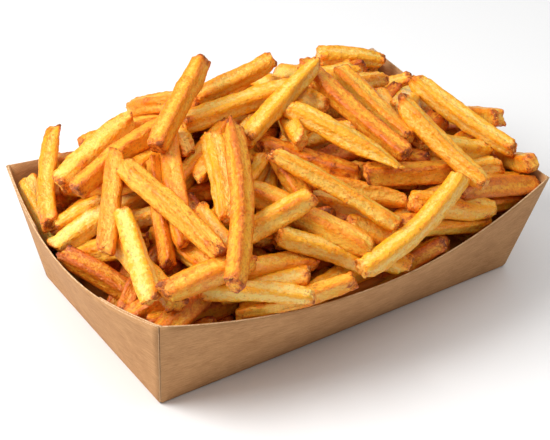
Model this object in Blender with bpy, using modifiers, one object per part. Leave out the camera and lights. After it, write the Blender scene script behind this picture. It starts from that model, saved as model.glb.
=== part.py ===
"""French fries heaped in a folded kraft paperboard tray.

Metres, +Z up. The origin is at the middle of the tray's underside, on the surface that it
stands on. X runs along the tray, Y across it.

The tray is one folded and glued piece of board: a flat floor, two long side walls and two
end walls, all leaning outwards. Their rims dip and bow outwards between the four corners.
The glue tabs of the side walls lie inside the end walls, which are two boards thick there.
The fries are one closed heap that fills the tray and rises above its rim in a mound.
"""

import math
import random

import bmesh
import bpy
from mathutils import Matrix, Vector

# Driving dimensions of the tray
BOARD = 0.0006
RIM_LENGTH = 0.184
RIM_WIDTH = 0.127
FLOOR_LENGTH = 0.169
FLOOR_WIDTH = 0.097
CORNER_HEIGHT = 0.051
SIDE_DIP = 0.0125
SIDE_BOW = 0.013
END_DIP = 0.009
END_BOW = 0.0085
TAB_LENGTH = 0.036
TAB_STEP = 0.0004
TAB_CLEAR_STEPS = 3

# Driving dimensions of the heap
HEAP_GAP = 0.0003
WALL_INSET = 0.0022
BELOW_RIM = 0.004
MOUND_LENGTH = 0.186
MOUND_WIDTH = 0.140
MOUND_EDGE = 0.043
MOUND_TOP = 0.083
MOUND_POWER = 2.2
MOUND_FALL = 0.9
EDGE_BAND = 0.08
BETWEEN_FRIES = 0.006

# Driving dimensions of the fries on top
FRY_SIDE = 0.0082
FRY_LENGTHS = (0.034, 0.076, 0.062)
FRY_RISE = (-0.0035, 0.003)
FRY_LEAN = 0.12
FRY_CLEARANCE = 0.0055
FRY_GRID = (11, 9)
FRY_RETREAT = 0.98
FRY_SPREAD = 1.15
STANDING_RISE = 0.003
STANDING_FRIES = ((-0.040, 0.007, 34, 17), (-0.010, 0.032, 5, 8))
HEAP_SEED = 8

# How finely the curved shapes are faceted
SIDE_CELLS = 16
END_CELLS = 12
FOOT_ROW = 0.05
WALL_ROWS = 2
HEAP_CELLS = (16, 12, 2)
SHARP_EDGE = math.radians(30)

KRAFT = (0.46, 0.27, 0.135, 1.0)
KRAFT_ROUGHNESS = 0.85
FRIED_POTATO = (0.83, 0.47, 0.08, 1.0)
POTATO_ROUGHNESS = 0.5


class Wall:
    """One pair of opposite walls. Each runs along one axis and faces outwards along the other."""

    def __init__(self, rim_along, rim_out, floor_along, floor_out, dip, bow):
        self.rim_along = rim_along / 2
        self.rim_out = rim_out / 2
        self.floor_along = floor_along / 2
        self.floor_out = floor_out / 2
        self.dip = dip
        self.bow = bow

    def rim_height(self, t):
        """Height of the rim at t, from -1 at one corner to 1 at the other."""
        return CORNER_HEIGHT - self.dip * (1 - t * t)

    def reach(self, t, height):
        """How far the outer face stands from the middle of the tray, up to the rim's height."""
        rim_height = self.rim_height(t)
        lean = (self.rim_out - self.floor_out) / CORNER_HEIGHT
        rim_reach = self.floor_out + lean * rim_height + self.bow * (1 - t * t)
        share = min(1.0, height / rim_height)
        return self.floor_out + (rim_reach - self.floor_out) * share

    def point(self, t, rise):
        """Place along the wall, place outwards and height, at a rise from 0 (floor) to 1 (rim)."""
        height = rise * self.rim_height(t)
        along = t * (self.floor_along + (self.rim_along - self.floor_along) * rise)
        return along, self.reach(t, height), height


SIDE = Wall(RIM_LENGTH, RIM_WIDTH, FLOOR_LENGTH, FLOOR_WIDTH, SIDE_DIP, SIDE_BOW)
END = Wall(RIM_WIDTH, RIM_LENGTH, FLOOR_WIDTH, FLOOR_LENGTH, END_DIP, END_BOW)


def plain_material(name, colour, roughness):
    material = bpy.data.materials.new(name)
    material.use_nodes = True
    surface = material.node_tree.nodes["Principled BSDF"]
    surface.inputs["Base Color"].default_value = colour
    surface.inputs["Roughness"].default_value = roughness
    surface.inputs["Metallic"].default_value = 0.0
    material.diffuse_color = colour
    return material


def add_object(name, mesh, collection, material):
    data = bpy.data.meshes.new(name)
    mesh.to_mesh(data)
    mesh.free()
    data.materials.append(material)
    data.shade_smooth()
    data.set_sharp_from_angle(angle=SHARP_EDGE)
    made = bpy.data.objects.new(name, data)
    collection.objects.link(made)
    return made


def even_cuts(cells):
    """The inner divisions of -1 to 1 into equal cells."""
    return [2 * i / cells - 1 for i in range(1, cells)]


def sliced_cube(*cuts_by_axis):
    """A cube from -1 to 1, sliced across X, Y and Z at the places given for each."""
    mesh = bmesh.new()
    bmesh.ops.create_cube(mesh, size=2)
    for axis, cuts in enumerate(cuts_by_axis):
        across = Vector((0, 0, 0))
        across[axis] = 1
        for cut in cuts:
            everything = [*mesh.verts, *mesh.edges, *mesh.faces]
            bmesh.ops.bisect_plane(mesh, geom=everything, plane_co=across * cut, plane_no=across)
    return mesh


def tab_cuts():
    """Places along an end wall: evenly spread, with a close pair at both edges of each tab."""
    tab_inner = 1 - TAB_LENGTH / END.rim_along
    step = TAB_STEP / END.rim_along
    edges = [tab_inner, tab_inner + step, 1 - step]
    clear = TAB_CLEAR_STEPS * step
    spread = [t for t in even_cuts(END_CELLS) if all(abs(abs(t) - e) > clear for e in edges)]
    return spread + edges + [-edge for edge in edges]


def is_on_tab(u, v, w):
    """True for a place of the cube that becomes part of a glue tab."""
    tab_inner = 1 - (TAB_LENGTH - TAB_STEP / 2) / END.rim_along
    tab_outer = 1 - TAB_STEP / 2 / END.rim_along
    return abs(u) == 1 and w > -1 and tab_inner < abs(v) < tab_outer


def tray_point(u, v, w):
    """Where a place on the cube goes when its sides become the outer faces of the tray."""
    rise = (w + 1) / 2
    if abs(v) == 1:
        along, out, height = SIDE.point(u, rise)
        return along, math.copysign(out, v), height
    along, out, height = END.point(v, rise)
    return math.copysign(out, u), along, height


def make_tray(collection):
    """An open box, moulded to the tray's outer faces and thickened inwards to the board."""
    rows = [2 * FOOT_ROW - 1, *even_cuts(WALL_ROWS)]
    mesh = sliced_cube(even_cuts(SIDE_CELLS), tab_cuts(), rows)
    lid = [face for face in mesh.faces if all(v.co.z == 1 for v in face.verts)]
    bmesh.ops.delete(mesh, geom=lid, context="FACES")
    floor = [face for face in mesh.faces if all(v.co.z == -1 for v in face.verts)]
    bmesh.ops.dissolve_faces(mesh, faces=floor)
    mesh.verts.index_update()
    on_tab = [vertex.index for vertex in mesh.verts if is_on_tab(*vertex.co)]
    single = [vertex.index for vertex in mesh.verts if not is_on_tab(*vertex.co)]
    for vertex in mesh.verts:
        vertex.co = tray_point(*vertex.co)
    kraft = plain_material("kraft_board", KRAFT, KRAFT_ROUGHNESS)
    tray = add_object("tray", mesh, collection, kraft)
    plies = tray.vertex_groups.new(name="plies")
    plies.add(on_tab, 1.0, "REPLACE")
    plies.add(single, 0.5, "REPLACE")
    board = tray.modifiers.new("board", "SOLIDIFY")
    board.thickness = 2 * BOARD
    board.offset = -1
    board.use_even_offset = True
    board.vertex_group = plies.name
    return tray


def mound(x, y):
    """Height of the smooth mound that the fries on top lie along."""
    u = min(1.0, 2 * abs(x) / MOUND_LENGTH)
    v = min(1.0, 2 * abs(y) / MOUND_WIDTH)
    share = ((1 - u**MOUND_POWER) * (1 - v**MOUND_POWER)) ** MOUND_FALL
    return MOUND_EDGE + (MOUND_TOP - MOUND_EDGE) * share


def filling_point(u, v, w):
    """Where a place of the cube goes when the cube fills the tray up to the mound."""
    rim = min(SIDE.rim_height(u), END.rim_height(v)) - BELOW_RIM
    floor = BOARD + HEAP_GAP
    x = u * (END.reach(v, rim) - WALL_INSET)
    y = v * (SIDE.reach(u, rim) - WALL_INSET)
    inner = 1 - max(abs(u), abs(v))
    top = rim + (mound(x, y) - BETWEEN_FRIES - rim) * min(1.0, inner / EDGE_BAND)
    height = floor + (top - floor) * (w + 1) / 2
    if w < 1:
        x = u * (END.reach(v, min(height, rim)) - WALL_INSET)
        y = v * (SIDE.reach(u, min(height, rim)) - WALL_INSET)
    return x, y, height


def make_filling(collection, material):
    """The fries below the top layer, as one solid moulded to the inside of the tray."""
    mesh = sliced_cube(*[even_cuts(cells) for cells in HEAP_CELLS])
    floor = [face for face in mesh.faces if all(v.co.z == -1 for v in face.verts)]
    bmesh.ops.dissolve_faces(mesh, faces=floor)
    for vertex in mesh.verts:
        vertex.co = filling_point(*vertex.co)
    return add_object("fries", mesh, collection, material)


def is_inside(point):
    """True where a point stays clear of the walls, also when it is above the rim."""
    side = SIDE.reach(max(-1.0, min(1.0, point.x / SIDE.rim_along)), point.z)
    end = END.reach(max(-1.0, min(1.0, point.y / END.rim_along)), point.z)
    return abs(point.x) < end - FRY_CLEARANCE and abs(point.y) < side - FRY_CLEARANCE


def fry_pose(x, y, length, heading, lean, rise):
    """A fry's pose on the mound: along the slope under it, then leaned and raised."""
    half = Vector((math.cos(heading), math.sin(heading))) * length / 2
    fore = mound(x + half.x, y + half.y)
    aft = mound(x - half.x, y - half.y)
    height = (mound(x, y) + (fore + aft) / 2) / 2 + rise
    tilt = math.atan2(fore - aft, length) + lean
    turn = Matrix.Rotation(heading, 4, "Z") @ Matrix.Rotation(-tilt, 4, "Y")
    return Matrix.Translation((x, y, height)) @ turn


def lay_fry(name, spot, length, heading, lean, rise, collection, material):
    """Lays one fry, drawn back from its spot until both ends have room inside the walls."""
    x, y = spot
    ends = [Vector((end * length / 2, 0, 0)) for end in (-1, 1)]
    pose = fry_pose(x, y, length, heading, lean, rise)
    while not all(is_inside(pose @ end) for end in ends):
        x, y = x * FRY_RETREAT, y * FRY_RETREAT
        pose = fry_pose(x, y, length, heading, lean, rise)
    mesh = bmesh.new()
    bmesh.ops.create_cube(mesh, size=1.0)
    bmesh.ops.scale(mesh, vec=(length, FRY_SIDE, FRY_SIDE), verts=mesh.verts)
    bmesh.ops.transform(mesh, matrix=pose, verts=mesh.verts)
    return add_object(name, mesh, collection, material)


def lay_fries(collection, material):
    """Spreads the fries of the top layer over a jittered grid, and stands a few on end."""
    rng = random.Random(HEAP_SEED)
    across, wide = FRY_GRID
    for i in range(across):
        for j in range(wide):
            x = FRY_SPREAD * END.rim_out * (2 * (i + rng.random()) / across - 1)
            y = FRY_SPREAD * SIDE.rim_out * (2 * (j + rng.random()) / wide - 1)
            length = rng.triangular(*FRY_LENGTHS)
            heading = rng.uniform(0, 2 * math.pi)
            lean = rng.uniform(-FRY_LEAN, FRY_LEAN)
            rise = rng.uniform(*FRY_RISE)
            name = f"fry_{i}_{j}"
            lay_fry(name, (x, y), length, heading, lean, rise, collection, material)
    longest = FRY_LENGTHS[1]
    for number, (x, y, heading, lean) in enumerate(STANDING_FRIES):
        name = f"standing_fry_{number}"
        turn, lean = math.radians(heading), math.radians(lean)
        lay_fry(name, (x, y), longest, turn, lean, STANDING_RISE, collection, material)


def outer_shell(made):
    """The evaluated mesh without the sealed pockets that are left under crossing fries."""
    evaluated = made.evaluated_get(bpy.context.evaluated_depsgraph_get())
    mesh = bmesh.new()
    mesh.from_mesh(evaluated.to_mesh())
    evaluated.to_mesh_clear()
    waiting = set(mesh.faces)
    shells = []
    while waiting:
        shell, rim = set(), {waiting.pop()}
        while rim:
            shell |= rim
            rim = {near for face in rim for edge in face.edges for near in edge.link_faces} - shell
        waiting -= shell
        shells.append(shell)
    shells.sort(key=len)
    pockets = [face for shell in shells[:-1] for face in shell]
    bmesh.ops.delete(mesh, geom=pockets, context="FACES")
    return mesh


def make_heap(collection, cutters):
    """One closed heap: the filling, with the fries of the top layer joined on."""
    material = plain_material("fried_potato", FRIED_POTATO, POTATO_ROUGHNESS)
    heap = make_filling(collection, material)
    lay_fries(cutters, material)
    union = heap.modifiers.new("top_layer", "BOOLEAN")
    union.operation = "UNION"
    union.solver = "EXACT"
    union.operand_type = "COLLECTION"
    union.collection = cutters
    mesh = outer_shell(heap)
    heap.modifiers.clear()
    mesh.to_mesh(heap.data)
    mesh.free()
    heap.data.set_sharp_from_angle(angle=SHARP_EDGE)
    return heap


def main():
    for old in list(bpy.data.objects):
        bpy.data.objects.remove(old)
    parts = bpy.data.collections.new("fries_in_tray")
    cutters = bpy.data.collections.new("cutters")
    for made in (parts, cutters):
        bpy.context.scene.collection.children.link(made)
    make_tray(parts)
    make_heap(parts, cutters)
    for tool in cutters.objects:
        tool.hide_render = True
        tool.display_type = "WIRE"


main()
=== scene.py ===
"""French fries in a folded kraft board tray: the looks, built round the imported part.

Everything is in metres in the part's own frame: X along the tray, Y across it, Z up, the
origin in the middle of the tray's underside.
"""

import math

import bmesh
import bpy
import numpy as np
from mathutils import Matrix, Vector


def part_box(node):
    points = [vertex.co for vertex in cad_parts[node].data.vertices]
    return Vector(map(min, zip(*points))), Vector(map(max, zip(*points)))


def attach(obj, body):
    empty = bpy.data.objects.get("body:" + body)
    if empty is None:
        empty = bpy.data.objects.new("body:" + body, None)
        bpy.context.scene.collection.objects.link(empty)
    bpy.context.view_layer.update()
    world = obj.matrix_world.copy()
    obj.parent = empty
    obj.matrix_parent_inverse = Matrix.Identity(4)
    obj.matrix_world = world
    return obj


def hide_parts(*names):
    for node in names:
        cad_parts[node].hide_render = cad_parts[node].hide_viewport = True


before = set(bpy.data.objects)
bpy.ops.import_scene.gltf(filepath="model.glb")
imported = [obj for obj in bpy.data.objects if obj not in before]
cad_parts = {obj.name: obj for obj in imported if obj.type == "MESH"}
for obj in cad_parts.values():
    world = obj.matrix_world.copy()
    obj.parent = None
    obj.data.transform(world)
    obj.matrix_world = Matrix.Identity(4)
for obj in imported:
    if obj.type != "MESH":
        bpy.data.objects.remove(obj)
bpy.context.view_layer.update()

MM = 0.001
tray_low, tray_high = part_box("tray")

# ---------------------------------------------------------------- the tray's sizes

BOARD = 0.55 * MM
PLY_GAP = 0.10 * MM
FOLD = 1.3 * MM
CORNER_HEIGHT = 51 * MM
SIDE_DIP, SIDE_BOW = 12.5 * MM, 13 * MM
END_DIP, END_BOW = 9 * MM, 8.5 * MM
END_BULGE = 7.2 * MM
SIDE_BULGE = 9.3 * MM
FLOOR_SHARE_ALONG = 0.918
FLOOR_SHARE_ACROSS = 0.764
TAB_SHARE = 0.57
RIM_LENGTH = tray_high.x - tray_low.x - 2 * END_BULGE
RIM_WIDTH = tray_high.y - tray_low.y - 2 * SIDE_BULGE


class Wall:
    """A pair of opposite walls: each runs along one axis and faces outwards along the other."""

    def __init__(self, rim_along, rim_out, floor_along, floor_out, dip, bow):
        self.rim_along = rim_along / 2
        self.rim_out = rim_out / 2
        self.floor_along = floor_along / 2
        self.floor_out = floor_out / 2
        self.dip = dip
        self.bow = bow

    def rim_height(self, t):
        return CORNER_HEIGHT - self.dip * (1 - t * t)

    def reach(self, t, height):
        """How far the outer face stands from the tray's middle; above the rim it goes on."""
        rim_height = self.rim_height(t)
        lean = (self.rim_out - self.floor_out) / CORNER_HEIGHT
        rim_reach = self.floor_out + lean * rim_height + self.bow * (1 - t * t)
        return self.floor_out + (rim_reach - self.floor_out) * height / rim_height

    def along(self, height, t=1.0):
        rise = height / self.rim_height(t)
        return t * (self.floor_along + (self.rim_along - self.floor_along) * rise)


FLOOR_LENGTH = RIM_LENGTH * FLOOR_SHARE_ALONG
FLOOR_WIDTH = RIM_WIDTH * FLOOR_SHARE_ACROSS
SIDE = Wall(RIM_LENGTH, RIM_WIDTH, FLOOR_LENGTH, FLOOR_WIDTH, SIDE_DIP, SIDE_BOW)
END = Wall(RIM_WIDTH, RIM_LENGTH, FLOOR_WIDTH, FLOOR_LENGTH, END_DIP, END_BOW)

# ---------------------------------------------------------------- shader expressions


class Wire:
    """A shader socket that takes part in Python arithmetic; each step adds its Math node."""

    def __init__(self, finish, socket):
        self.finish = finish
        self.socket = socket

    def _math(self, operation, *values, clamp=False):
        settings = {"operation": operation, "use_clamp": clamp}
        return self.finish.node("ShaderNodeMath", settings, dict(enumerate(values)))

    def __add__(self, other):
        return self._math("ADD", self, other)

    def __radd__(self, other):
        return self._math("ADD", other, self)

    def __sub__(self, other):
        return self._math("SUBTRACT", self, other)

    def __rsub__(self, other):
        return self._math("SUBTRACT", other, self)

    def __mul__(self, other):
        return self._math("MULTIPLY", self, other)

    def __rmul__(self, other):
        return self._math("MULTIPLY", other, self)

    def __truediv__(self, other):
        return self._math("DIVIDE", self, other)

    def __pow__(self, other):
        return self._math("POWER", self, other)

    def held(self):
        """The value kept between 0 and 1."""
        return self._math("ADD", self, 0.0, clamp=True)

    def between(self, low, high):
        """A smooth step: 0 at low, 1 at high."""
        settings = {"interpolation_type": "SMOOTHSTEP"}
        inputs = {"Value": self, "From Min": low, "From Max": high}
        return self.finish.node("ShaderNodeMapRange", settings, inputs)


class Finish:
    """A material under construction, with its Principled shader as self.surface."""

    def __init__(self, name, **constants):
        self.material = bpy.data.materials.new(name)
        self.material.use_nodes = True
        self.tree = self.material.node_tree
        self.surface = self.tree.nodes["Principled BSDF"]
        for socket, value in constants.items():
            self.surface.inputs[socket.replace("_", " ")].default_value = value

    def node(self, kind, settings=None, inputs=None, output=0):
        """Adds a node: first its settings, then the values or links of its sockets."""
        made = self.tree.nodes.new(kind)
        for key, value in (settings or {}).items():
            setattr(made, key, value)
        for key, value in (inputs or {}).items():
            self.connect(made.inputs[key], value)
        return Wire(self, made.outputs[output])

    def connect(self, socket, value):
        if isinstance(value, Wire):
            self.tree.links.new(value.socket, socket)
        else:
            socket.default_value = value

    def drive(self, **sockets):
        for name, value in sockets.items():
            self.connect(self.surface.inputs[name.replace("_", " ")], value)
        return self.material

    def mix(self, share, start, end):
        """A colour from start at share 0 to end at share 1."""
        settings = {"data_type": "RGBA"}
        inputs = {0: share, 6: start, 7: end}
        return self.node("ShaderNodeMix", settings, inputs, output=2)

    def noise(self, place, scale, detail=4.0, roughness=0.55):
        inputs = {"Vector": place, "Scale": scale, "Detail": detail, "Roughness": roughness}
        return self.node("ShaderNodeTexNoise", None, inputs)

    def stretched(self, place, across):
        """The place multiplied along its three axes."""
        return self.node("ShaderNodeVectorMath", {"operation": "MULTIPLY"}, {0: place, 1: across})

    def attribute(self, name, output="Fac"):
        return self.node("ShaderNodeAttribute", {"attribute_name": name}, output=output)

    def bump(self, height, depth, strength=1.0):
        inputs = {"Height": height, "Distance": depth, "Strength": strength}
        return self.node("ShaderNodeBump", None, inputs)


def shade(red, green, blue):
    """A colour named by its screen values from 0 to 255, as the renderer wants it."""
    linear = [((v / 255 + 0.055) / 1.055) ** 2.4 if v > 10 else v / 255 / 12.92 for v in (red, green, blue)]
    return (*linear, 1.0)


# ---------------------------------------------------------------- materials


def kraft_finish():
    """Uncoated brown board: long fibres that lie level, soft mottling and darker flecks."""
    made = Finish("kraft_board", Specular_IOR_Level=0.3)
    place = made.node("ShaderNodeTexCoord", output="Object")
    level = made.stretched(place, (220.0, 220.0, 2600.0))
    streaks = made.noise(level, 1.0, 3.0, 0.6)
    fibres = made.noise(made.stretched(place, (900.0, 900.0, 5200.0)), 1.0, 2.0)
    mottle = made.noise(place, 95.0, 4.0, 0.6)
    flecks = made.noise(place, 1400.0, 2.0).between(0.66, 0.78)
    tone = (0.5 * streaks + 0.3 * mottle + 0.2 * fibres).between(0.36, 0.64)
    base = made.mix(tone, shade(168, 119, 73), shade(199, 150, 101))
    flecked = made.mix(flecks * 0.35, base, shade(140, 92, 52))
    relief = fibres * 0.6 + streaks * 0.4
    return made.drive(
        Base_Color=flecked,
        Roughness=0.74 + 0.14 * mottle,
        Normal=made.bump(relief, 0.00006),
    )


def cut_edge_finish():
    """The board's cut edge, paler than its faces, with the fibre layers showing as lines."""
    made = Finish("board_cut_edge", Specular_IOR_Level=0.25)
    place = made.node("ShaderNodeTexCoord", output="Object")
    layers = made.noise(made.stretched(place, (400.0, 400.0, 9000.0)), 1.0, 2.0)
    base = made.mix(layers.between(0.35, 0.65), shade(196, 152, 106), shade(228, 192, 150))
    return made.drive(Base_Color=base, Roughness=0.85, Normal=made.bump(layers, 0.00005))


def potato_finish(name, pale, gold, amber, crust, crispness):
    """Fried potato. The pale face browns towards the edges and the cut ends.

    The mesh carries where: grain is a place in the fry's own length and section, edge rises
    from 0 in the middle of a face to 1 at a corner, crisp rises to 1 at ends and blisters,
    and tone differs from fry to fry.
    """
    made = Finish(
        name,
        Specular_IOR_Level=0.55,
        Specular_Tint=(1.0, 0.95, 0.80, 1.0),
        Subsurface_Weight=0.45,
        Subsurface_Radius=(1.0, 0.40, 0.10),
        Subsurface_Scale=0.0020,
        Coat_Roughness=0.18,
    )
    grain = made.attribute("grain", "Vector")
    crisp = made.attribute("crisp")
    edge = made.attribute("edge")
    tone = made.attribute("tone")
    fibre = made.noise(made.stretched(grain, (230.0, 900.0, 900.0)), 1.0, 4.0, 0.65)
    cloud = made.noise(grain, 170.0, 4.0, 0.6)
    pits = made.noise(made.stretched(grain, (560.0, 720.0, 720.0)), 1.0, 4.0, 0.65)
    crumb = made.noise(grain, 1100.0, 3.0)
    blisters = made.noise(made.stretched(grain, (360.0, 560.0, 560.0)), 1.0, 2.0, 0.5)
    raised = blisters.between(0.42, 0.72)
    pitted = pits.between(0.38, 0.62)
    ripe = 1.05 * edge + 1.10 * (cloud - 0.5) + 1.0 * (fibre - 0.5) + 0.7 * (tone - 0.5)
    ripe = ripe + 0.50 * (pitted - 0.5) - 0.30 * (raised - 0.5)
    face = made.mix(ripe.between(0.0, 0.95), pale, gold)
    line = edge.between(0.66, 1.0) * (1.8 * cloud - 0.35)
    fried = crisp * (0.35 + 1.1 * cloud) + 0.2 * (tone - 0.5) + crispness
    fried = fried + 0.30 * (pitted - 0.5) + 0.25 * (blisters - 0.5)
    toasted = made.mix((fried + 0.42 * line.held()).between(0.10, 0.85), face, amber)
    browned = made.mix((fried * (0.30 + 1.2 * pits)).between(0.55, 1.05), toasted, crust)
    specks = crumb.between(0.57, 0.67) * (0.32 + 0.9 * crisp)
    speckled = made.mix(specks.held(), browned, crust)
    flaky = (1.0 - crumb).between(0.60, 0.68) * crisp * 0.8
    flaked = made.mix(flaky.held(), speckled, pale)
    relief = 0.22 * fibre + 0.45 * pits + 0.25 * raised + 0.30 * crumb
    return made.drive(
        Base_Color=flaked,
        Roughness=0.26 + 0.34 * pits + 0.1 * fried,
        Coat_Weight=0.5 * cloud.between(0.35, 0.65) * (1.0 - 0.8 * crisp) * (1.0 - 0.7 * edge),
        Normal=made.bump(relief, 0.00100),
    )


def core_finish():
    """What little shows between the lowest fries, in shadow: a deep amber darker than any fry, as painted
    shade.
    """
    made = Finish("deep_fries_painted_shade", Specular_IOR_Level=0.3)
    place = made.node("ShaderNodeTexCoord", output="Object")
    cloud = made.noise(place, 160.0, 4.0)
    # The dark amber is painted shade for the gaps, not a colour the fries have.
    base = made.mix(cloud, shade(150, 78, 18), shade(200, 120, 34))
    return made.drive(Base_Color=base, Roughness=0.6 + 0.2 * cloud, Normal=made.bump(cloud, 0.0006))


# ---------------------------------------------------------------- pieces


def as_piece(name, mesh, materials, node):
    """Links a mesh as a piece that rides on the part and stands for one of its nodes."""
    piece = bpy.data.objects.new(name, mesh)
    bpy.context.scene.collection.objects.link(piece)
    for material in materials:
        mesh.materials.append(material)
    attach(piece, "root")
    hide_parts(node)
    return piece


def grid_faces(rows, columns, closed=False):
    """Faces of a grid of points numbered row by row."""
    row, column = np.meshgrid(np.arange(rows - 1), np.arange(columns - (not closed)), indexing="ij")
    after = (column + 1) % columns
    corners = (row * columns + column, row * columns + after)
    above = ((row + 1) * columns + after, (row + 1) * columns + column)
    return np.stack([*corners, *above], -1).reshape(-1, 4)


# ---------------------------------------------------------------- the tray

SIDE_COLUMNS = 48
END_COLUMNS = 30
TAB_COLUMNS = 12
FOLD_ROWS = 4
WALL_ROWS = 12


def warp(points):
    """The small waves of a board tray that has been folded by hand."""
    x, y, z = points[..., 0], points[..., 1], points[..., 2]
    rise = np.clip(z / CORNER_HEIGHT, 0, 1)
    points = points.copy()
    points[..., 1] += 0.35 * MM * rise * np.sin(52 * x + 0.8) * np.sign(y) * np.clip(np.abs(y) / 0.04, 0, 1)
    points[..., 0] += 0.30 * MM * rise * np.sin(61 * y + 2.1) * np.sign(x) * np.clip(np.abs(x) / 0.06, 0, 1)
    return points


def profile(t, wall, rises):
    """Across a wall: from the floor, round the fold and up to the rim. Gives out and height."""
    height = wall.rim_height(t)
    turn = (np.arange(FOLD_ROWS + 1) / FOLD_ROWS)[:, None]
    climb = FOLD / height
    lean = (wall.reach(t, FOLD) - wall.floor_out)[None]
    out_start, out_corner, out_end = wall.floor_out - FOLD, wall.floor_out, wall.floor_out + lean
    round_out = (1 - turn) ** 2 * out_start + 2 * turn * (1 - turn) * out_corner + turn**2 * out_end
    round_up = turn**2 * FOLD * np.ones_like(t)[None]
    rises = climb[None] + (1 - climb[None]) * rises[1:, None]
    straight_up = rises * height[None]
    straight_out = wall.reach(t[None], straight_up)
    return np.concatenate([round_out, straight_out]), np.concatenate([round_up, straight_up])


def wall_points(wall, columns, inset):
    """A wall's outer face as rows of points (along, out, up); its ends are drawn in by inset."""
    t = np.linspace(-1, 1, columns + 1)
    out, up = profile(t, wall, np.linspace(0, 1, WALL_ROWS + 1))
    half = wall.floor_along + (wall.rim_along - wall.floor_along) * up / wall.rim_height(t)
    turning = np.clip(1 - up / FOLD, 0, 1)
    half = half - turning * FOLD - (1 - turning) * inset
    return np.stack([t * half, out, up], -1)


def tab_points(facing, end, inset):
    """A glue tab: from the side wall's edge, round the corner and along inside the end wall."""
    rises = np.linspace(0.06, 1, WALL_ROWS)[:, None]
    v = 1 - (1 - (1 - TAB_SHARE)) * np.linspace(0, 1, TAB_COLUMNS + 1)[None] ** 1.2
    slant = 0.05 * (1 - rises) * np.linspace(0, 1, TAB_COLUMNS + 1)[None]
    v = v + slant
    proud = 0.8 * MM * np.sin(math.pi * np.linspace(0, 1, TAB_COLUMNS + 1))[None]
    up = rises * (END.rim_height(v) + proud)
    half = END.floor_along + (END.rim_along - END.floor_along) * up / END.rim_height(v)
    x = END.reach(v, up) - inset
    y = v * half
    bend = np.clip(1 - (1 - v) * half / FOLD, 0, 1)
    x = x - 0.45 * FOLD * bend**2
    points = np.stack([end * x, facing * y, up], -1)
    return points


def make_tray():
    """One cut and folded board: floor, side walls with their glue tabs, and end walls outside."""
    ply = BOARD + PLY_GAP
    mesh = bmesh.new()

    def add(points):
        rows, columns = points.shape[:2]
        made = [mesh.verts.new(p) for p in points.reshape(-1, 3)]
        for face in grid_faces(rows, columns):
            mesh.faces.new([made[i] for i in face])

    for facing in (-1, 1):
        wall = wall_points(SIDE, SIDE_COLUMNS, ply)
        add(warp(np.stack([wall[..., 0], facing * wall[..., 1], wall[..., 2]], -1)))
        wall = wall_points(END, END_COLUMNS, 0.25 * MM)
        add(warp(np.stack([facing * wall[..., 1], wall[..., 0], wall[..., 2]], -1)))
    across = np.linspace(-1, 1, END_COLUMNS + 1) * (SIDE.floor_out - FOLD)
    along = np.linspace(-1, 1, SIDE_COLUMNS + 1) * (END.floor_out - FOLD)
    x, y = np.meshgrid(along, across, indexing="ij")
    add(np.stack([x, y, np.zeros_like(x)], -1))
    bmesh.ops.remove_doubles(mesh, verts=mesh.verts, dist=0.02 * MM)
    bmesh.ops.recalc_face_normals(mesh, faces=mesh.faces)
    lowest = min(mesh.faces, key=lambda face: face.calc_center_median().z)
    if lowest.normal.z > 0:
        bmesh.ops.reverse_faces(mesh, faces=mesh.faces)
    data = bpy.data.meshes.new("board_tray")
    mesh.to_mesh(data)
    mesh.free()
    data.shade_smooth()
    materials = [kraft_finish(), cut_edge_finish()]
    tray = as_piece("board_tray", data, materials, "tray")
    thicken(tray)
    make_tabs(materials, ply)


def make_tabs(materials, ply):
    for end in (-1, 1):
        for facing in (-1, 1):
            points = warp(tab_points(facing, end, ply))
            rows, columns = points.shape[:2]
            faces = grid_faces(rows, columns)
            if end * facing > 0:
                faces = faces[:, ::-1]
            data = bpy.data.meshes.new("glue_tab")
            data.from_pydata(points.reshape(-1, 3), [], faces.tolist())
            data.shade_smooth()
            name = f"glue_tab_{'left' if end < 0 else 'right'}_{'front' if facing < 0 else 'back'}"
            tab = as_piece(name, data, materials, "tray")
            thicken(tab)


def thicken(piece):
    board = piece.modifiers.new("board", "SOLIDIFY")
    board.thickness = BOARD
    board.offset = -1
    board.use_even_offset = True
    board.material_offset_rim = 1


# ---------------------------------------------------------------- the heap

HEAP_SEED = 5
MOUND_LENGTH, MOUND_WIDTH = 186 * MM, 140 * MM
MOUND_EDGE, MOUND_TOP = 46 * MM, 85 * MM
MOUND_POWER, MOUND_FALL = 2.2, 0.9
CORE_DEPTH = 36 * MM
FRY_RADIUS = 3.75 * MM
LEVEL_STEP = 5 * MM
TOP_LEVEL = 3
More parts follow.
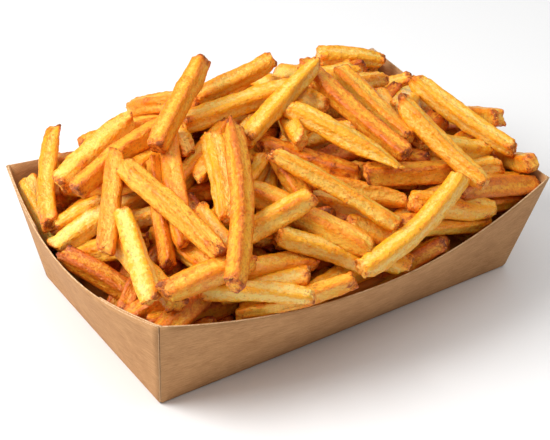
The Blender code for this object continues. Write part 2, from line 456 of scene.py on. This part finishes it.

# The fries that give the heap its face, listed from the left end to the right one:
# middle x and y in millimetres, heading in degrees, length in millimetres, and the level
# that each lies at, where a higher one crosses over a lower one. Two more numbers lift an
# end: degrees, and millimetres above the rest.
LAID_BY_HAND = (
    # left end, from the back to the front
    (-85, 42, 28, 52, 3), (-64, 34, 20, 42, 3), (-60, 18, 14, 50, 3), (-62, 48, 92, 42, 2, 4, 0),
    (-66, 18, -72, 48, 2), (-70, 26, -6, 45, 1), (-70, 16, -8, 45, 2), (-84, -2, -42, 44, 2),
    (-75, -2, 53, 46, 4), (-63, -26, -81, 62, 4), (-79, -32, -95, 52, 3), (-81, -32, -103, 46, 3),
    (-61, -16, 62, 50, 2), (-66, -56, 1, 38, 4), (-70, -50, -14, 38, 1), (-54, -11, -114, 56, 3),
    # the back, as far as the middle
    (-37, 12, 34, 50, 4, 20, 8), (-28, 41, -66, 40, 3), (-47, 37, 7, 40, 2),
    (-4, 26, 6, 42, 4, 7, 1), (-8, 11, -3, 56, 3), (0, -3, 26, 55, 4),
    # the middle of the front
    (-38, 2, 23, 40, 2), (-22, 2, 20, 40, 1), (-34, -25, 20, 40, 2), (-39, -21, 70, 42, 3),
    (-44, -42, 58, 75, 5), (-22, -29, 64, 46, 2), (-31, -46, -4, 34, 3), (-38, -53, -15, 42, 2),
    (-33, -66, -14, 46, 3), (-50, -66, -56, 42, 4), (2, -9, 60, 38, 2), (-4, -26, -32, 42, 2),
    (11, -29, -61, 52, 3), (-4, -48, -51, 56, 4), (-17, -50, -49, 54, 3), (-15, -58, -31, 44, 2),
    (9, -40, -25, 46, 2), (-10, -63, 1, 42, 1),
    # the right end
    (27, -14, -84, 68, 4), (40, -9, -88, 52, 3, 0.5, -2), (46, 20, 20, 50, 2), (44, -24, -62, 44, 2),
    (34, -44, 0, 44, 2), (19, -64, 8, 60, 4), (37, -63, -7, 46, 2), (14, -67, 4, 42, 2),
    (48, -44, -79, 50, 4), (44, -61, -24, 40, 3), (68, -54, -47, 38, 1), (70, -52, -5, 42, 2),
    (72, -58, -8, 46, 3), (76, -20, -88, 56, 3), (90, -12, -60, 42, 1), (88, -4, 80, 50, 3),
    (90, -36, 40, 44, 2), (92, 18, -60, 44, 1), (72, 50, -25, 32, 3, 0.5, -1),
    (72, 56, 0, 36, 1, 0.5, -3), (76, 30, -76, 46, 2, 0.5, 0),
)


def mound(x, y):
    """Height of the smooth mound that the topmost fries reach."""
    u = np.minimum(1, 2 * np.abs(x) / MOUND_LENGTH)
    v = np.minimum(1, 2 * np.abs(y) / MOUND_WIDTH)
    share = ((1 - u**MOUND_POWER) * (1 - v**MOUND_POWER)) ** MOUND_FALL
    return MOUND_EDGE + (MOUND_TOP - MOUND_EDGE) * share


class Pile:
    """Fries as straight rods that push each other, the walls and the core until all have room."""

    def __init__(self):
        self.middle, self.way, self.half, self.radius = [], [], [], []
        self.grip, self.stiff = [], []

    def add(self, x, y, heading, length, depth, radius, grip, lean=0.0, rise=0.0):
        """Adds a fry at a depth below the mound's surface; grip is how firmly it keeps its place."""
        step = np.array([math.cos(heading), math.sin(heading)]) * length / 2
        fore = mound(x + step[0], y + step[1])
        aft = mound(x - step[0], y - step[1])
        height = (mound(x, y) + (fore + aft) / 2) / 2 - radius - depth + rise
        tilt = math.atan2(fore - aft, length) + lean
        level = math.cos(tilt)
        self.middle.append((x, y, height))
        self.way.append((level * math.cos(heading), level * math.sin(heading), math.sin(tilt)))
        self.half.append(length / 2 - radius * END_REACH)
        self.radius.append(radius)
        self.grip.append(grip)
        self.stiff.append(1.0 if lean else 0.3)

    def freeze(self):
        for name in ("middle", "way", "half", "radius", "grip", "stiff"):
            setattr(self, name, np.array(getattr(self, name), float))
        self.home = self.middle.copy()
        self.home_way = self.way.copy()
        self.ease = np.where(self.grip > LOOSE_GRIP, 0.3, 1.0)

    def near_pairs(self):
        gap = np.linalg.norm(self.middle[:, None] - self.middle[None], axis=-1)
        reach = self.half + self.radius
        return np.nonzero(np.triu(gap < reach[:, None] + reach[None], 1))

    def push_apart(self, first, second):
        """Moves each crossing pair apart along the shortest line between their middle lines."""
        offset = self.middle[first] - self.middle[second]
        a, b = self.way[first], self.way[second]
        ab = np.einsum("ij,ij->i", a, b)
        ao = np.einsum("ij,ij->i", a, offset)
        bo = np.einsum("ij,ij->i", b, offset)
        along_a = (ab * bo - ao) / np.maximum(1 - ab**2, 1e-4)
        for _ in range(2):
            along_a = np.clip(along_a, -self.half[first], self.half[first])
            along_b = np.clip(bo + ab * along_a, -self.half[second], self.half[second])
            along_a = ab * along_b - ao
        along_a = np.clip(along_a, -self.half[first], self.half[first])
        line = offset + along_a[:, None] * a - along_b[:, None] * b
        gap = np.linalg.norm(line, axis=1)
        overlap = self.radius[first] + self.radius[second] - gap
        hit = overlap > 0
        first, second, along_a, along_b = first[hit], second[hit], along_a[hit], along_b[hit]
        line = line[hit] / np.maximum(gap[hit], 1e-6)[:, None]
        ease_a = self.ease[first] * (1 + 3 * (along_a / self.half[first]) ** 2)
        ease_b = self.ease[second] * (1 + 3 * (along_b / self.half[second]) ** 2)
        push = (overlap[hit] * FIRMNESS / (ease_a + ease_b))[:, None] * line
        self.shift(first, along_a, self.ease[first][:, None] * push)
        self.shift(second, along_b, -self.ease[second][:, None] * push)
        return overlap[hit]

    def shift(self, which, along, push):
        """Gives rods a push at a place along them: they move and turn."""
        turn = (3 * along / self.half[which] ** 2)[:, None] * push
        for axis in range(3):
            self.middle[:, axis] += np.bincount(which, push[:, axis], len(self.half))
            self.way[:, axis] += np.bincount(which, turn[:, axis], len(self.half))
        self.way /= np.linalg.norm(self.way, axis=1)[:, None]

    def keep_in(self):
        """Keeps points along every rod inside the walls, above the core and below the mound."""
        every = np.arange(len(self.half))
        for share in (-1, -0.5, 0, 0.5, 1):
            along = share * self.half
            place = self.middle + along[:, None] * self.way
            room = BOARD * 2 + PLY_GAP + self.radius * CORNER_REACH
            push = np.zeros_like(place)
            for across, wall, run in ((1, SIDE, 0), (0, END, 1)):
                t = np.clip(place[:, run] / wall.rim_along, -1, 1)
                over_rim = place[:, 2] - self.radius - wall.rim_height(t)
                limit = wall.reach(t, place[:, 2]) - room + np.clip(over_rim, 0, OVERHANG)
                excess = np.maximum(0, np.abs(place[:, across]) - limit)
                push[:, across] = -np.sign(place[:, across]) * excess
            low = core_height(place[:, 0], place[:, 1]) + self.radius
            high = mound(place[:, 0], place[:, 1]) - self.radius
            over = np.where(self.grip > LOOSE_GRIP, 0, np.maximum(0, place[:, 2] - high))
            push[:, 2] = np.maximum(0, low - place[:, 2]) - 0.4 * over
            self.shift(every, along, push / (1 + 3 * share**2) * 1.4)

    def settle(self):
        for turn in range(SETTLE_ROUNDS + FINAL_ROUNDS):
            if turn % 12 == 0:
                first, second = self.near_pairs()
            if turn < SETTLE_ROUNDS:
                self.middle[:, 2] -= SINK * (self.grip <= LOOSE_GRIP)
                grip = self.grip[:, None] * (1 - turn / SETTLE_ROUNDS)
                self.middle += grip * (self.home - self.middle) * (1, 1, LIFT)
                back = grip * (self.home_way - self.way)
                back[:, 2] *= self.stiff
                self.way += back
                self.way /= np.linalg.norm(self.way, axis=1)[:, None]
            overlap = self.push_apart(first, second)
            self.keep_in()
            self.way[:, 2] = np.clip(self.way[:, 2], -STEEPEST, STEEPEST)
        for _ in range(4):
            self.keep_in()
        return overlap


SINK = 0.12 * MM
FIRMNESS = 0.7
SETTLE_ROUNDS = 300
FINAL_ROUNDS = 120
LOOSE_GRIP, FIRM_GRIP = 0.02, 0.25
LIFT = 0.3
STEEPEST = 0.42
END_REACH = 0.8
CORNER_REACH = 1.3
OVERHANG = 5 * MM


def core_height(x, y):
    rim = np.minimum(SIDE.rim_height(np.clip(x / SIDE.rim_along, -1, 1)), END.rim_height(np.clip(y / END.rim_along, -1, 1)))
    return np.minimum(mound(x, y), rim + 40 * MM) - CORE_DEPTH


def lay_pile():
    """The listed fries, then others at random: round them, behind them and below."""
    rng = np.random.default_rng(HEAP_SEED)
    pile = Pile()
    for x, y, heading, length, level, *more in LAID_BY_HAND:
        lean, rise = more or (0, 0)
        depth = (TOP_LEVEL - level) * LEVEL_STEP
        radius = FRY_RADIUS * rng.uniform(0.94, 1.08)
        place = (x * MM, y * MM, math.radians(heading), length * MM)
        pile.add(*place, depth, radius, FIRM_GRIP, math.radians(lean), rise * MM)
    laid = np.array([row[:2] for row in LAID_BY_HAND]) * MM
    for deep, across, wide, lengths, apart in FILL:
        for i in range(across):
            for j in range(wide):
                x = SIDE.rim_along * (2 * (i + rng.random()) / across - 1)
                y = END.rim_along * 1.08 * (2 * (j + rng.random()) / wide - 1)
                heading = rng.uniform(0, math.pi)
                length = rng.triangular(*lengths) * MM
                radius = FRY_RADIUS * rng.uniform(0.9, 1.1)
                lean = rng.uniform(-0.10, 0.10)
                depth = (deep + rng.uniform(-1.5, 1.5)) * MM
                if np.hypot(laid[:, 0] - x, laid[:, 1] - y).min() < apart * MM:
                    continue
                pile.add(x, y, heading, length, depth, radius, LOOSE_GRIP, lean)
    pile.freeze()
    overlap = pile.settle() / MM
    print("fries", len(pile.half), "overlaps over 0.4 mm", (overlap > 0.4).sum(), "worst", overlap.max())
    return pile


LONG, SHORT = (42, 62, 74), (20, 30, 44)
FILL = ((0, 9, 7, LONG, 17), (5, 9, 7, SHORT, 6), (9, 8, 6, SHORT, 4), (11, 7, 5, LONG, 0), (18, 6, 5, LONG, 0))


# ---------------------------------------------------------------- one fry

SECTION_STEPS = 7
BODY_RINGS = 60
BURIED_RINGS = 18
END_RINGS = 5
CORNER_ROUND = 0.44
HOLLOW = 0.10


def section():
    """A square with rounded corners, half side 1: points, outward directions, and how much of
    a corner each point is."""
    points, outward, corner = [], [], []
    for quarter in range(4):
        angle = quarter * math.pi / 2
        turn = np.array([[math.cos(angle), -math.sin(angle)], [math.sin(angle), math.cos(angle)]])
        for step in range(SECTION_STEPS):
            share = step / SECTION_STEPS
            if share < 0.5:
                flat = (share / 0.5 * 2 - 1) * (1 - CORNER_ROUND)
                place = np.array([1.0 - HOLLOW * (1 - (flat / (1 - CORNER_ROUND)) ** 2), flat])
                way = np.array([1.0, 0.0])
                edge = abs(flat) / (1 - CORNER_ROUND) * 0.7
            else:
                swing = (share - 0.5) / 0.5 * math.pi / 2
                way = np.array([math.cos(swing), math.sin(swing)])
                place = (1 - CORNER_ROUND) + CORNER_ROUND * way
                edge = 0.7 + 0.3 * math.sin(2 * swing)
            points.append(turn @ place)
            outward.append(turn @ way)
            corner.append(edge)
    return np.array(points), np.array(outward), np.array(corner)


def scatter(points, seed):
    """Smooth random values from -1 to 1 at points, one unit between independent values."""
    whole = np.floor(points).astype(np.int64)
    part = points - whole
    part = part * part * (3 - 2 * part)
    total = np.zeros(points.shape[:-1])
    for corner in range(8):
        step = np.array([corner & 1, corner >> 1 & 1, corner >> 2 & 1])
        spot = whole + step
        mixed = spot[..., 0] * 73856093 ^ spot[..., 1] * 19349663 ^ spot[..., 2] * 83492791 ^ seed * 2654435761
        mixed = (mixed ^ mixed >> 13) * 1274126177
        value = ((mixed ^ mixed >> 16) & 65535) / 32767.5 - 1
        weight = np.prod(np.where(step, part, 1 - part), axis=-1)
        total += value * weight
    return total


class FryShape:
    """Draws the sizes of one fry: section, taper, bend, twist, cut ends and blisters."""

    def __init__(self, rng, length, radius):
        self.length = length
        self.radius = radius
        self.wide = rng.uniform(0.96, 1.20)
        self.thick = rng.uniform(0.88, 1.10)
        slender = (length / 0.06) ** 2
        self.bend = rng.normal(0, 1.3) * MM * slender
        self.sway = rng.normal(0, 1.2) * MM * slender
        self.kink = rng.normal(0, 0.9) * MM * slender
        self.kink_place = rng.uniform(-0.4, 0.4)
        self.twist = rng.normal(0, 0.16)
        self.narrowing = rng.uniform(0, 0.26)
        self.waist = rng.uniform(-0.02, 0.08)
        self.shear = rng.normal(0, 0.13)
        self.tip = rng.uniform(0.45, 0.80) if rng.random() < 0.25 else 1.0
        self.tip_length = rng.uniform(0.18, 0.45)
        self.cuts = rng.normal(0, 0.30, 4)
        self.seed = int(rng.integers(1, 100000))
        self.tone = rng.beta(2.4, 2.4)
        self.blister = rng.beta(1.2, 4)


def fry_grid(shape, rings):
    """Points, grain and crispness of one fry along +X, as rings by section points."""
    spots, outward, corner = section()
    half, radius = shape.length / 2, shape.radius
    cap = 0.42 * radius
    body = np.linspace(-(half - cap), half - cap, rings)
    quarter = np.linspace(0, math.pi / 2, END_RINGS)[1:]
    rim = half - cap + cap * np.sin(quarter)
    inset = 1 - 0.34 * (1 - np.cos(quarter))
    inner = np.array([0.5, 0.22])
    along = np.concatenate([np.full(2, -half), -rim[::-1], body, rim, np.full(2, half)])
    scale = np.concatenate([inner[::-1], inset[::-1], np.ones(rings), inset, inner])
    share = along / half
    narrow = 1 - shape.narrowing * np.clip(share, 0, 1) ** 2 - shape.waist * (1 - share**2)
    narrow = narrow - 0.16 * np.abs(share) ** 6
    start = 1 - 2 * shape.tip_length
    wedge = 1 - (1 - shape.tip) * np.clip((share - start) / (1 - start), 0, 1) ** 1.5
    wide = radius * shape.wide * narrow * scale
    thick = radius * shape.thick * narrow * wedge * scale
    upward = thick[:, None] * spots[None, :, 1]
    across = wide[:, None] * spots[None, :, 0] + shape.shear * upward
    upward = upward - (radius * shape.thick * (1 - wedge) * 0.7)[:, None]
    near_end = np.clip(np.abs(share), 0, 1) ** 10
    lean_cut = np.where(share < 0, shape.cuts[0], shape.cuts[1])[:, None] * across
    lean_cut = lean_cut + np.where(share < 0, shape.cuts[2], shape.cuts[3])[:, None] * upward
    length_wise = along[:, None] + lean_cut * near_end[:, None]
    grain = np.stack([length_wise, across, upward], -1)
    seed = shape.seed
    lumps = scatter(grain / (8 * MM) * (0.6, 1, 1) + seed % 97, seed)
    ripple = scatter(grain / (2.6 * MM) * (0.5, 1, 1) + seed % 89, seed + 1)
    rough = scatter(grain / (1.1 * MM) + seed % 83, seed + 2)
    spotty = scatter(grain / (3.2 * MM) + seed % 79, seed + 3)
    blister = np.clip(spotty - 0.30, 0, 1) * shape.blister
    body_part = np.clip((scale - 0.55) / 0.3, 0, 1)[:, None]
    to_end = (1 - np.abs(share))[:, None] * half
    end_zone = np.clip(1 - to_end / (6 * MM), 0, 1) ** 1.5
    cut_rim = np.exp(-((to_end / (0.9 * MM)) ** 2)) * body_part
    edge = corner[None] * body_part
    crisp = end_zone * (0.60 + 0.60 * spotty) + cut_rim * (0.30 + 0.4 * ripple) + 2.2 * blister
    crisp = np.clip(crisp + edge**3 * 0.4 * ripple, 0, 1.3)
    push = 0.50 * MM * lumps + 0.26 * MM * ripple + 0.16 * MM * rough
    push = push + MM * (0.20 + 0.30 * end_zone) * ripple * edge**3
    push = push + MM * blister * 0.9 + (0.70 * rough + 0.75 * spotty) * MM * end_zone
    across = across + outward[None, :, 0] * push * body_part
    upward = upward + outward[None, :, 1] * push * body_part
    cut_rough = (0.45 * rough + 0.45 * ripple + 0.3 * spotty) * MM
    length_wise = length_wise + np.sign(share)[:, None] * np.clip(1 - to_end / (1.2 * MM), 0, 1) * cut_rough
    spin = (shape.twist * share)[:, None]
    turned = across * np.cos(spin) - upward * np.sin(spin)
    upward = across * np.sin(spin) + upward * np.cos(spin)
    curve = (share**2 - 0.4)[:, None]
    kink = (np.abs(share - shape.kink_place) - 0.5)[:, None]
    across = turned - shape.sway * curve - shape.kink * kink
    upward = upward - shape.bend * curve
    return np.stack([length_wise, across, upward], -1), grain, {"crisp": crisp, "edge": edge + 0 * crisp}


class Batch:
    """Gathers fries of one kind into one mesh."""

    def __init__(self):
        self.points, self.faces, self.count = [], [], 0
        self.values = {"grain": [], "crisp": [], "edge": [], "tone": []}

    def add(self, points, **values):
        """Adds a fry given as rings of points, with values for each point, and closes its ends."""
        rings, around = points.shape[:2]
        turn = np.arange(around)
        after = (turn + 1) % around
        last = (rings - 1) * around
        tips = rings * around + np.zeros((2, around), int) + ((0,), (1,))
        start = np.stack([tips[0], after, turn, turn], -1)
        end = np.stack([tips[1], last + turn, last + after, last + after], -1)
        sides = grid_faces(rings, around, closed=True)
        self.faces.append(np.concatenate([sides, start, end]) + self.count)
        self.points.append(self.with_tips(points))
        for name, value in values.items():
            self.values[name].append(self.with_tips(value))
        self.count += rings * around + 2

    @staticmethod
    def with_tips(rings):
        tips = rings[[0, -1]].mean(axis=1)
        return np.concatenate([rings.reshape(-1, *rings.shape[2:]), tips])

    def mesh(self, name):
        data = bpy.data.meshes.new(name)
        faces = [f[:3] if f[2] == f[3] else f for f in np.concatenate(self.faces).tolist()]
        data.from_pydata(np.concatenate(self.points), [], faces)
        data.shade_smooth()
        for label, parts in self.values.items():
            values = np.concatenate(parts)
            vector = values.ndim == 2
            made = data.attributes.new(label, "FLOAT_VECTOR" if vector else "FLOAT", "POINT")
            made.data.foreach_set("vector" if vector else "value", values.astype(np.float32).ravel())
        return data


def placed(points, middle, way, roll):
    """Turns a fry made along +X to lie along way, a face upwards before it rolls."""
    sideways = np.cross((0, 0, 1), way)
    sideways /= np.linalg.norm(sideways)
    upright = np.cross(way, sideways)
    across = math.cos(roll) * sideways + math.sin(roll) * upright
    up = math.cos(roll) * upright - math.sin(roll) * sideways
    return middle + points[..., :1] * way + points[..., 1:2] * across + points[..., 2:] * up


def held_by_board(points):
    """Flattens a fry where it touches the walls and the floor."""
    for across, wall, run in ((1, SIDE, 0), (0, END, 1)):
        t = np.clip(points[..., run] / wall.rim_along, -1, 1)
        over_rim = np.clip(points[..., 2] - wall.rim_height(t), 0, None)
        limit = wall.reach(t, points[..., 2]) - 2 * BOARD - PLY_GAP - TOUCH + 3 * over_rim
        points[..., across] = np.clip(points[..., across], -limit, limit)
    points[..., 2] = np.maximum(points[..., 2], BOARD + TOUCH)
    return points


TOUCH = 0.5 * MM

KINDS = {
    "pale_fries": (shade(255, 211, 112), shade(253, 174, 20), shade(237, 134, 3), shade(160, 80, 8), -0.05),
    "yellow_fries": (shade(255, 203, 92), shade(251, 164, 12), shade(234, 120, 2), shade(154, 74, 6), -0.01),
    "golden_fries": (shade(254, 193, 72), shade(246, 150, 6), shade(222, 112, 2), shade(146, 66, 5), 0.05),
    "crisp_fries": (shade(248, 176, 48), shade(231, 126, 4), shade(198, 94, 2), shade(128, 54, 4), 0.13),
    # The buried kind is painted darker and browner than the rest: painted shade for the gaps deep in the heap.
    "buried_fries_painted_shade": (shade(240, 166, 44), shade(218, 112, 4), shade(186, 78, 1), shade(112, 46, 4), 0.12),
}
SHARES = (0.34, 0.29, 0.22, 0.15)


def make_fries():
    pile = lay_pile()
    rng = np.random.default_rng(HEAP_SEED + 1)
    batches = {kind: Batch() for kind in KINDS}
    top = pile.middle[:, 2] - mound(pile.middle[:, 0], pile.middle[:, 1])
    for number in range(len(pile.half)):
        length = 2 * (pile.half[number] + 0.8 * pile.radius[number])
        shape = FryShape(rng, length, pile.radius[number])
        buried = top[number] < -17 * MM
        points, grain, marks = fry_grid(shape, BURIED_RINGS if buried else BODY_RINGS)
        roll = rng.normal(0, 0.18) + (math.pi / 2) * rng.integers(0, 4)
        if rng.random() < 0.15:
            roll += math.pi / 4
        points = held_by_board(placed(points, pile.middle[number], pile.way[number], roll))
        kind = tuple(KINDS)[rng.choice(4, p=SHARES)]
        # Fries deep below the mound take the buried kind, whose darker colour is painted shade.
        if buried:
            kind = "buried_fries_painted_shade"
        grain = grain + rng.uniform(-1, 1, 3)
        tone = np.full(points.shape[:2], shape.tone)
        batches[kind].add(points, grain=grain, tone=tone, **marks)
    for kind, batch in batches.items():
        if batch.count:
            data = batch.mesh(kind)
            print(kind, "faces", len(data.polygons))
            as_piece(kind, data, [potato_finish(kind, *KINDS[kind])], "fries")


def make_core():
    """The fries too deep to see, as one rough mass below the loose ones."""
    size = 60
    u = np.linspace(-1, 1, size)
    across, wide = np.meshgrid(u, u, indexing="ij")
    x, y = across * END.floor_out, wide * SIDE.floor_out
    z = core_height(x, y) + 1.5 * MM * scatter(np.stack([x, y, y * 0], -1) / (6 * MM), 4)
    edge = np.maximum(np.abs(across), np.abs(wide)) == 1
    z = np.where(edge, BOARD + 0.3 * MM, np.maximum(z, BOARD + 4 * MM))
    x = across * (END.reach(wide, z) - 2 * BOARD - FOLD)
    y = wide * (SIDE.reach(across, z) - BOARD - FOLD)
    data = bpy.data.meshes.new("heap_core")
    points = np.stack([x, y, z], -1).reshape(-1, 3)
    data.from_pydata(points, [], grid_faces(size, size).tolist())
    data.shade_smooth()
    as_piece("heap_core", data, [core_finish()], "fries")


# ---------------------------------------------------------------- floor, light and camera

AZIMUTH, ELEVATION = math.radians(-32.4), math.radians(34.9)
CAMERA_AIM = Vector((6.1, 11.1, 18.1)) * MM
CAMERA_DISTANCE = 780.6 * MM
LENS = 120.1


def make_camera():
    back = Vector((math.sin(AZIMUTH) * math.cos(ELEVATION), -math.cos(AZIMUTH) * math.cos(ELEVATION), math.sin(ELEVATION)))
    data = bpy.data.cameras.new("camera")
    data.lens = LENS
    data.sensor_width = 36
    data.clip_start, data.clip_end = 0.05, 20
    camera = bpy.data.objects.new("camera", data)
    camera.location = CAMERA_AIM + back * CAMERA_DISTANCE
    camera.rotation_euler = (-back).to_track_quat("-Z", "Y").to_euler()
    bpy.context.scene.collection.objects.link(camera)
    bpy.context.scene.camera = camera


def make_floor():
    mesh = bmesh.new()
    bmesh.ops.create_grid(mesh, x_segments=2, y_segments=2, size=3)
    data = bpy.data.meshes.new("floor")
    mesh.to_mesh(data)
    mesh.free()
    floor = bpy.data.objects.new("floor", data)
    floor.location.z = -0.05 * MM
    bpy.context.scene.collection.objects.link(floor)
    made = Finish("pale_floor", Base_Color=(0.88, 0.88, 0.88, 1), Roughness=0.6)
    data.materials.append(made.material)


def area_light(name, place, aim, size, watts, colour=(1, 1, 1)):
    data = bpy.data.lights.new(name, "AREA")
    data.shape = "DISK"
    data.size = size
    data.energy = watts
    data.color = colour
    light = bpy.data.objects.new(name, data)
    light.location = place
    light.rotation_euler = (Vector(aim) - Vector(place)).to_track_quat("-Z", "Y").to_euler()
    bpy.context.scene.collection.objects.link(light)


def make_light():
    world = bpy.data.worlds.new("studio")
    world.use_nodes = True
    world.node_tree.nodes["Background"].inputs["Color"].default_value = (1, 1, 1, 1)
    world.node_tree.nodes["Background"].inputs["Strength"].default_value = 0.23
    bpy.context.scene.world = world
    area_light("key", (-0.62, 0.18, 0.66), (0, 0, 0.04), 0.60, 9.1)
    area_light("top", (0.25, -0.20, 1.15), (0, 0, 0.04), 1.7, 9.4)
    bpy.context.scene.view_settings.view_transform = "Standard"


make_camera()
make_light()
make_floor()
make_tray()
make_core()
make_fries()
